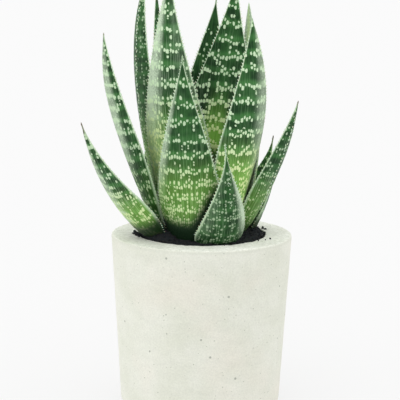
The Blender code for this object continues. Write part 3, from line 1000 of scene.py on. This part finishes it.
@dataclass(frozen=True)
class Rosette:
    """All the leaves, placed as on the CAD model."""

    # In this table the flanks' paleness and ribs are partly painted sheen, the glow partly painted light,
    # foot, foot_height, lean and shade set painted shade, and leaf_tall_rear's low banding paints the shade
    # it stands in.
    leaves: tuple[AloeLeaf, ...] = (
        AloeLeaf("leaf_outer_left", (208, 0.0250), (-0.0630, -0.0380, 0.1600), 216, (0.0066, 0.0084),
                 (216, 216), 0.0265, 0.0075, belly=0.45, foot_share=0.34, clasp=0.022, marks=Markings(
                     (6.4 * MM, 5.6 * MM), flecks=(0.75, 0.65), stray=(0.35, 0.06), bloom_and_sheen=(0.0, 0.68),
                     flank=(-0.35, 0.45), ribs=1.0, streaks=(0.4, 0.0), glow=(0.8, 0.62), foot=0.95,
                     foot_height=14 * MM, dim=0.15, brown=9 * MM)),
        AloeLeaf("leaf_middle_left", (187, 0.0182), (-0.0530, -0.0140, 0.2050), 195, (0.0050, 0.0108),
                 (181, 222), 0.0275, 0.0064, belly=0.54, foot_share=0.30, taper=1.2, marks=Markings(
                     (9.8 * MM, 4.8 * MM), first=0.62, flecks=(0.85, 0.75), stray=(0.4, 0.05),
                     bloom_and_sheen=(0.0, 0.72), flank=(-0.60, 0.45), bare=0.30, ribs=1.2, glow=(0.3, 0.5), foot=0.8,
                     dim=0.15, brown=3 * MM)),
        AloeLeaf("leaf_tall_left", (148, 0.0162), (-0.0325, 0.0100, 0.2310), 170, (0.0080, 0.0150),
                 (190, 212), 0.0288, 0.0074, belly=0.50, foot_share=0.34, taper=0.9, clasp=0.018,
                 marks=Markings((5 * MM, 5 * MM), flecks=(0.55, 0.5), stray=(0.3, 0.15), size=(0.8, 0.8),
                                bloom_and_sheen=(0.0, 0.0), streaks=(0.05, 0.05), foot=0.2, dim=0.5,
                                glow=(0.8, 0.60), banding=0.5, keel=Keel.BEADED)),
        AloeLeaf("leaf_narrow_rear_left", (113, 0.0208), (-0.0270, 0.0330, 0.2300), 126, (0.0070, 0.0092),
                 (128, 140), 0.0172, 0.0055, belly=0.50, foot_share=0.36, taper=1.15, clasp=0.018,
                 marks=Markings((6 * MM, 6 * MM), flecks=(0.5, 0.5), stray=(0.2, 0.1), size=(0.75, 0.75),
                                streaks=(0.05, 0.0), bloom_and_sheen=(0.0, 0.0), dim=0.3)),
        AloeLeaf("leaf_tall_front", (234, 0.0090), (-0.0180, -0.0180, 0.2430), 222, (0.0100, 0.0100),
                 (241, 248), 0.0330, 0.0080, belly=0.48, foot_share=0.42, taper=1.55, clasp=0.016,
                 marks=Markings((7.8 * MM, 10.4 * MM), first=0.06, flecks=(1.0, 0.92), stray=(1.1, 0.05),
                                glow=(1.1, 0.60), bloom_and_sheen=(0.1, 1.0), flank=(0.08, 0.62), bare=-0.2,
                                ribs=0.5, streaks=(0.5, 0.0), foot=0.0)),
        AloeLeaf("leaf_front", (257, 0.0216), (-0.0110, -0.0340, 0.1950), 258, (0.0060, 0.0080),
                 (257, 262), 0.0325, 0.0080, belly=0.34, foot_share=0.74, taper=1.45, marks=Markings(
                     (4.9 * MM, 11.6 * MM), first=0.33, flecks=(1.0, 0.85), stray=(0.7, 0.05), banding=0.8,
                     size=(0.95, 0.95), spacing=(1.1 * MM, 1.6 * MM), glow=(0.65, 0.60), bloom_and_sheen=(0.0, 0.85),
                     flank=(0.58, 0.40), bare=0.22, dim=0.18, foot=1.0, foot_height=12 * MM,
                     lean=18 * MM)),
        AloeLeaf("leaf_front_low", (291, 0.0264), (0.0115, -0.0400, 0.1500), 295, (0.0050, 0.0060),
                 (295, 295), 0.0282, 0.0077, belly=0.12, foot_share=0.90, taper=2.4, clasp=0.022,
                 swerve=-0.002, marks=Markings(
                     (4.2 * MM, 6.0 * MM), flecks=(0.8, 0.5), stray=(0.45, 0.3), size=(0.85, 0.8),
                     spacing=(1.5 * MM, 1.6 * MM), glow=(0.0, 0.2), bloom_and_sheen=(1.1, 0.1), dim=0.5, foot=0.1,
                     banding=0.3, keel=Keel.TOOTHED)),
        AloeLeaf("leaf_tall_broad", (77, 0.0084), (0.0185, 0.0200, 0.2400), 80, (0.0030, 0.0067),
                 (80, 92), 0.0375, 0.0075, belly=0.48, foot_share=0.42, taper=1.7, clasp=0.018,
                 marks=Markings((6.6 * MM, 10 * MM), first=0.33, flecks=(1.3, 0.90), stray=(0.8, 0.06),
                                size=(1.5, 0.90), spacing=(1.3 * MM, 1.6 * MM), glow=(1.2, 0.62),
                                foot=0.9, foot_height=44 * MM, shade=0.95)),
        AloeLeaf("leaf_tall_rear", (95, 0.0154), (0.0070, 0.0380, 0.2230), 100, (0.0075, 0.0090),
                 (92, 90), 0.0290, 0.0065, belly=0.54, foot_share=0.40, taper=1.3, clasp=0.018,
                 marks=Markings((8 * MM, 8 * MM), flecks=(0.5, 0.5), stray=(0.3, 0.12), size=(0.75, 0.75),
                                shade=0.9, banding=0.2)),
        AloeLeaf("leaf_tall_right", (324, 0.0134), (0.0250, -0.0220, 0.2140), 312, (0.0062, 0.0144),
                 (332, 302), 0.0312, 0.0074, belly=0.54, foot_share=0.24, taper=1.15, clasp=0.018,
                 marks=Markings((10.5 * MM, 7.5 * MM), first=0.83, flecks=(1.0, 0.85), stray=(0.9, 0.06),
                                glow=(1.0, 0.58), bloom_and_sheen=(0.6, 0.0), flank=(-0.10, 0.80), ribs=0.5)),
        AloeLeaf("leaf_narrow_rear_right", (28, 0.0204), (0.0250, 0.0260, 0.2210), 13, (0.0110, 0.0036),
                 (30, 42), 0.0186, 0.0050, belly=0.60, foot_share=0.36, taper=0.9, clasp=0.018,
                 marks=Markings((6 * MM, 6 * MM), size=(0.7, 0.7), streaks=(0.5, 0.6), glow=(0.75, 2.5),
                                pale=0.72)),
        AloeLeaf("leaf_outer_right", (5, 0.0177), (0.0510, -0.0120, 0.1700), 342, (0.0033, 0.0055),
                 (342, 318), 0.0222, 0.0062, belly=0.44, foot_share=0.18, taper=1.3, clasp=0.022,
                 marks=Markings((5 * MM, 5.5 * MM), flecks=(0.7, 0.55), stray=(0.3, 0.1), size=(0.8, 0.8),
                                bloom_and_sheen=(0.3, 0.0), streaks=(0.25, 0.05), banding=0.6, dim=0.35,
                                glow=(0.6, 0.6), brown=4 * MM, keel=Keel.BEADED)),
        AloeLeaf("leaf_low_right", (25, 0.0272), (0.0405, 0.0110, 0.1300), 4, (0.0020, 0.0035), (8, 6),
                 0.0110, 0.0044, belly=0.30, clasp=0.022,
                 marks=Markings((5 * MM, 5 * MM), flecks=(0.6, 0.5), size=(0.75, 0.75), foot=0.9)),
        AloeLeaf("leaf_rear_right", (58, 0.0242), (0.0400, 0.0225, 0.1470), 29, (0.0045, 0.0092),
                 (44, 40), 0.0160, 0.0065, belly=0.35,
                 marks=Markings((5 * MM, 5 * MM), flecks=(0.6, 0.5), size=(0.75, 0.75), brown=9 * MM)),
        AloeLeaf("leaf_low_rear", (91, 0.0240), (0.0020, 0.0540, 0.1560), 88, (0.0060, 0.0070), (90, 88),
                 0.0250, 0.0075, belly=0.38, clasp=0.022, marks=Markings((5 * MM, 7 * MM), brown=4 * MM)),
        AloeLeaf("leaf_low_rear_left", (138, 0.0240), (-0.0310, 0.0440, 0.1470), 145, (0.0060, 0.0070),
                 (145, 145), 0.0260, 0.0075, belly=0.38, clasp=0.022,
                 marks=Markings((5 * MM, 7 * MM), first=0.4, brown=4 * MM)),
        AloeLeaf("leaf_heart_long", (186, 0.0066), (-0.0055, 0.0005, 0.1600), 186, (0.0015, 0.0030),
                 (186, 186), 0.0130, 0.0048, clasp=0.012,
                 marks=Markings((4 * MM, 5 * MM), size=(0.7, 0.7), glow=(0.8, 0.9))),
        AloeLeaf("leaf_heart_short", (335, 0.0072), (0.0075, -0.0030, 0.1360), 335, (0.0010, 0.0020),
                 (335, 335), 0.0150, 0.0046, clasp=0.012,
                 marks=Markings((4 * MM, 5 * MM), size=(0.7, 0.7), glow=(0.9, 0.9))),
    )

    def build(self) -> None:
        """Makes every leaf."""
        for leaf in self.leaves:
            leaf.build()


@dataclass(frozen=True)
class ConcretePot:
    """The cup of cast concrete: a turned wall with soft, slightly uneven edges."""

    wall: float = 0.015
    floor: float = 0.014
    hollow_foot_radius: float = 0.030
    base_share: float = 0.89
    edge_rounding: float = 0.0017
    steps: int = 256
    ring_step: float = 2.4 * MM
    unevenness: float = 0.14 * MM
    chip_depth: float = 0.45 * MM
    chip_size: float = 3.2 * MM

    def corner(self, at: Vector, before: Vector, after: Vector, radius: float,
               steps: int = 7) -> list[Vector]:
        """Points of an arc that rounds a profile's corner.

        Args:
            at: the corner.
            before: the profile's point before it.
            after: the profile's point after it.
            radius: how far from the corner the arc starts and ends.
            steps: how many stretches it has.

        Returns:
            The arc's points.
        """
        start, end = (at + (other - at).normalized() * radius for other in (before, after))
        shares = [i / steps for i in range(steps + 1)]
        return [start * (1 - s) ** 2 + at * 2 * s * (1 - s) + end * s * s for s in shares]

    def profile(self, height: float, reach: float) -> list[Vector]:
        """The turned outline, from the hollow's floor over the rim to the underside's middle.

        Args:
            height: the CAD node's height.
            reach: how far the CAD node reaches along +X.

        Returns:
            The outline's points.
        """
        rim_radius = reach + 0.12 * self.edge_rounding
        inner_middle, outer_middle = Vector((0, 0, self.floor)), Vector((0, 0, 0))
        hollow_foot = Vector((self.hollow_foot_radius, 0, self.floor))
        inner_rim, outer_rim = Vector((rim_radius - self.wall, 0, height)), Vector((rim_radius, 0, height))
        foot = Vector((self.base_share * rim_radius, 0, 0))
        stops = (inner_middle, hollow_foot, inner_rim, outer_rim, foot, outer_middle)
        points = [inner_middle]
        for before, at, after, rounding in zip(stops, stops[1:], stops[2:], (2.0, 0.6, 1.0, 1.0)):
            points += self.corner(at, before, after, rounding * self.edge_rounding)
        return points + [outer_middle]

    def build(self) -> Piece:
        """Turns the profile, divides the long walls and makes them a little uneven."""
        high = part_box("pot")[1]
        bm = turned(self.profile(high.z, high.x), self.steps, self.ring_step)
        for vert in bm.verts:
            if vert.co.z > 0.3 * MM:
                rise = lumps(vert.co, 9 * MM, 3.0) + 0.5 * lumps(vert.co, 3 * MM, 5.0)
                inward = min(0.0, rise - 0.9)
                edge = 1 - smooth((high.z - vert.co.z) / (2 * MM))
                chip = self.chip_depth * edge * max(0.0, lumps(vert.co, self.chip_size, 7.0) - 0.05)
                vert.co += vert.normal * (self.unevenness * inward - chip)
        return make_piece(bm, "concrete_pot", ConcreteFinish(), "concrete", "pot")


@dataclass(frozen=True)
class PottingSoil:
    """Dark crumbly soil, heaped a little round the leaf feet.

    Each mound has its place, its reach and its height, and each stray crumb its place and its size.
    """

    heap: float = 1.9 * MM
    edge_drop: float = 0.4 * MM
    ring_step: float = 0.9 * MM
    steps: int = 200
    crumbs: int = 1500
    crumb_sizes: tuple[float, float] = (0.30 * MM, 1.05 * MM)
    mounds: tuple[tuple[float, float, float, float], ...] = (
        (-0.0205, -0.0205, 10 * MM, 4.2 * MM), (-0.0292, -0.0140, 7 * MM, 4.4 * MM),
        (-0.0310, 0.0020, 8 * MM, 2.2 * MM), (0.0310, -0.0080, 8 * MM, 1.4 * MM),
        (0.0290, 0.0110, 9 * MM, 1.8 * MM),
    )
    strays: tuple[tuple[float, float, float], ...] = (
        (0.0305, -0.0215, 0.55 * MM), (0.0345, -0.0190, 0.5 * MM), (0.0335, -0.0140, 0.45 * MM),
        (0.0372, -0.0165, 0.6 * MM), (0.0350, 0.0010, 0.7 * MM), (0.0345, -0.0050, 0.5 * MM),
        (-0.0350, -0.0080, 0.7 * MM), (-0.0355, -0.0105, 0.8 * MM), (-0.0345, -0.0140, 0.6 * MM),
        (-0.0362, -0.0050, 0.5 * MM), (-0.0362, -0.0072, 1.4 * MM), (-0.0366, -0.0036, 1.3 * MM),
        (-0.0352, -0.0106, 1.2 * MM), (-0.0372, 0.0004, 1.0 * MM), (-0.0340, -0.0140, 1.1 * MM),
        (-0.0378, -0.0054, 0.7 * MM), (0.0345, 0.0128, 1.2 * MM), (0.0358, 0.0102, 0.8 * MM),
        (0.0120, -0.0352, 0.4 * MM), (-0.0080, -0.0358, 0.35 * MM),
    )

    STRETCHES = ((0.8, 1.3), (0.7, 1.1), (0.6, 0.9))

    def surface(self, x: float, y: float, opening: float, rim: float) -> float:
        """Height of the soil at a place.

        Args:
            x: metres to the right.
            y: metres to the back.
            opening: radius of the pot's opening.
            rim: height of the pot's rim.

        Returns:
            The height in metres.
        """
        heap = self.heap * (1 - smooth((math.hypot(x, y) / opening - 0.55) / 0.45))
        for mound_x, mound_y, reach, height in self.mounds:
            heap += height * (1 - smooth(math.hypot(x - mound_x, y - mound_y) / reach))
        rough = 0.7 * MM * lumps((x, y, 0), 4 * MM, 1.0) + 0.35 * MM * lumps((x, y, 0), 1.6 * MM, 2.0)
        return rim - self.edge_drop + heap + rough

    def build(self) -> None:
        """Makes the body of soil, its crumbs and the few crumbs on the rim."""
        low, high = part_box("soil")
        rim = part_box("pot")[1].z
        opening = high.x
        foot = 0.30 * MM + low.z
        outline = [Vector((0, 0, foot)), Vector((0.84 * opening, 0, foot)), Vector((opening, 0, high.z))]
        rings = int(opening / self.ring_step)
        outline += [Vector((opening * i / rings, 0, rim)) for i in range(rings - 1, -1, -1)]
        bm = turned(outline, self.steps)
        for vert in bm.verts:
            if vert.co.z >= high.z - 0.1 * MM:
                vert.co.z = self.surface(vert.co.x, vert.co.y, opening, rim)
        make_piece(bm, "soil_body", SoilFinish(), "soil", "soil")
        self.build_crumbs(opening, rim)

    def build_crumbs(self, opening: float, rim: float) -> Piece:
        """Loose crumbs on the soil, thicker towards its edge, and a few strays on the rim.

        Args:
            opening: radius of the pot's opening.
            rim: height of the pot's rim.

        Returns:
            All the crumbs as one piece.
        """
        rng = random.Random(11)
        templates = [self.crumb_template(number) for number in range(6)]
        spots = []
        while len(spots) < self.crumbs:
            radius = opening * math.sqrt(rng.uniform(0.12, 1.03))
            turn = rng.uniform(0, math.tau)
            size = between(self.crumb_sizes, rng.random() ** 2.2)
            x, y = radius * math.cos(turn), radius * math.sin(turn)
            spots.append((x, y, self.surface(x, y, opening, rim) + 0.15 * size, size))
        spots += [(x, y, rim + 0.35 * size, size) for x, y, size in self.strays]
        copies = []
        for x, y, z, size in spots:
            template = rng.choice(templates)
            turn = Matrix.Rotation(rng.uniform(0, math.tau), 4, rng.choice("XYZ"))
            stretch = Matrix.Diagonal((*(rng.uniform(*ends) for ends in self.STRETCHES), 1.0))
            copies.append((template, Matrix.Translation((x, y, z)) @ turn @ stretch @ Matrix.Scale(size, 4)))
        return make_piece(scatter(copies), "soil_crumbs", SoilFinish(), "soil", sharp_degrees=30.0)

    def crumb_template(self, number: int) -> Mesh:
        """A lumpy grain one unit in radius; each number gives another shape."""
        bm = bmesh.new()
        bmesh.ops.create_icosphere(bm, subdivisions=1, radius=1.0)
        for vert in bm.verts:
            vert.co *= 1 + 0.35 * lumps(vert.co, 0.9, 4.0 + number)
        return to_mesh(bm, "crumb_template")


@dataclass(frozen=True)
class Crown:
    """The stem's stub among the youngest leaves."""

    steps: int = 48
    foot_bevel: float = 0.8 * MM
    wall_rings: int = 8
    dome_rings: int = 10
    shoulder_share: float = 8 / 12

    def build(self) -> Piece:
        """Turns the stub, with a rounded top."""
        low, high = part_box("stem")
        radius = high.x
        shoulder = self.shoulder_share * (high.z - low.z)
        outline = [(0.0, low.z), (radius - self.foot_bevel, low.z), (radius, low.z + self.foot_bevel)]
        outline += [(radius, low.z + shoulder * i / self.wall_rings) for i in range(1, self.wall_rings + 1)]
        turns = [math.pi / 2 * i / self.dome_rings for i in range(1, self.dome_rings + 1)]
        dome = high.z - low.z - shoulder
        outline += [(radius * math.cos(turn), low.z + shoulder + dome * math.sin(turn)) for turn in turns]
        bm = turned([Vector((x, 0.0, z)) for x, z in outline], self.steps)
        return make_piece(bm, "aloe_crown", StemFinish(), "stem", "stem")


@dataclass(frozen=True)
class Studio:
    """Camera, floor and soft lights."""

    camera_place: tuple[float, float, float] = (-0.0011, -0.681, 0.232)
    camera_down: float = 9.9
    camera_roll: float = 0.62
    lens: float = 112.6
    floor_radius: float = 40.0
    ambient: float = 0.78
    left_glow: float = 0.34
    right_glow: float = 0.20
    top_glow: float = 0.85
    key_strength: float = 0.24
    key_from: tuple[float, float, float] = (-0.75, -0.65, 0.9)
    key_angle: float = 60.0
    back_strength: float = 0.15
    back_from: tuple[float, float, float] = (0.9, 0.45, 0.5)
    back_angle: float = 80.0
    backdrop: str = "F9F9F8"

    def build(self) -> None:
        """Makes the camera first, then the floor and the lights."""
        self.build_camera()
        self.build_floor()
        self.build_world()
        self.build_sun("key_softbox", self.key_from, self.key_strength, self.key_angle)
        self.build_sun("back_softbox", self.back_from, self.back_strength, self.back_angle)
        bpy.context.scene.view_settings.view_transform = "Standard"

    def build_camera(self) -> None:
        """A long lens, a little above the rim and looking down at the photograph's angle."""
        data = bpy.data.cameras.new("camera")
        data.lens = self.lens
        data.sensor_width = 36.0
        data.clip_start, data.clip_end = 0.05, 100.0
        camera = bpy.data.objects.new("camera", data)
        tilt = Matrix.Rotation(math.radians(90 - self.camera_down), 4, "X")
        roll = Matrix.Rotation(math.radians(self.camera_roll), 4, "Z")
        camera.matrix_world = Matrix.Translation(self.camera_place) @ tilt @ roll
        bpy.context.scene.collection.objects.link(camera)
        bpy.context.scene.camera = camera

    def build_floor(self) -> None:
        """A wide white floor at the pot's underside."""
        bm = bmesh.new()
        bmesh.ops.create_circle(bm, cap_ends=True, segments=96, radius=self.floor_radius)
        mesh = to_mesh(bm, "studio_floor")
        mesh.materials.append(FloorFinish().material())
        floor = bpy.data.objects.new("studio_floor", mesh)
        bpy.context.scene.collection.objects.link(floor)

    def build_world(self) -> None:
        """Soft light from all round, stronger from the sides and above; the camera sees plain white."""
        world = bpy.data.worlds.new("studio")
        world.use_nodes = True
        tree = world.node_tree
        add = partial(add_node, tree)
        way = add("TexCoord", take="Generated")
        split = add("SeparateXYZ", (way,)).node.outputs
        strength = self.ambient
        for socket, begin, end, gain in (("X", 0.1, -1.0, self.left_glow), ("X", 0.1, 1.0, self.right_glow),
                                         ("Z", 0.35, 1.0, self.top_glow)):
            ramp = add("MapRange", (split[socket], begin, end, 0.0, gain), interpolation_type="SMOOTHSTEP")
            strength = add("Math", (ramp, strength), operation="ADD")
        lit = tree.nodes["Background"]
        fill(lit, {"Strength": strength, "Color": (1.0, 1.0, 1.0, 1.0)})
        plain = add("Background", {"Color": linear(self.backdrop), "Strength": 1.0})
        seen = add("LightPath", take="Is Camera Ray")
        both = add("MixShader", (seen, lit.outputs[0], plain))
        fill(tree.nodes["World Output"], {"Surface": both})
        bpy.context.scene.world = world

    def build_sun(self, name: str, source: tuple[float, float, float], strength: float, angle: float) -> None:
        """A very wide far light, as soft as a large softbox and even over the whole floor.

        Args:
            name: the light's name.
            source: the way that the light comes from.
            strength: its strength.
            angle: how wide it is, in degrees.
        """
        data = bpy.data.lights.new(name, "SUN")
        data.energy = strength
        data.angle = math.radians(angle)
        light = bpy.data.objects.new(name, data)
        light.rotation_mode = "QUATERNION"
        light.rotation_quaternion = Vector(source).to_track_quat("Z", "Y")
        bpy.context.scene.collection.objects.link(light)


def main() -> None:
    """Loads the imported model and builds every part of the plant."""
    logging.basicConfig(level=logging.INFO, format="%(message)s")
    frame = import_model()
    LOG.info("packed nodes: %d", len(frame["nodes"]))
    Studio().build()
    ConcretePot().build()
    PottingSoil().build()
    Crown().build()
    Rosette().build()


if __name__ == "__main__":
    main()
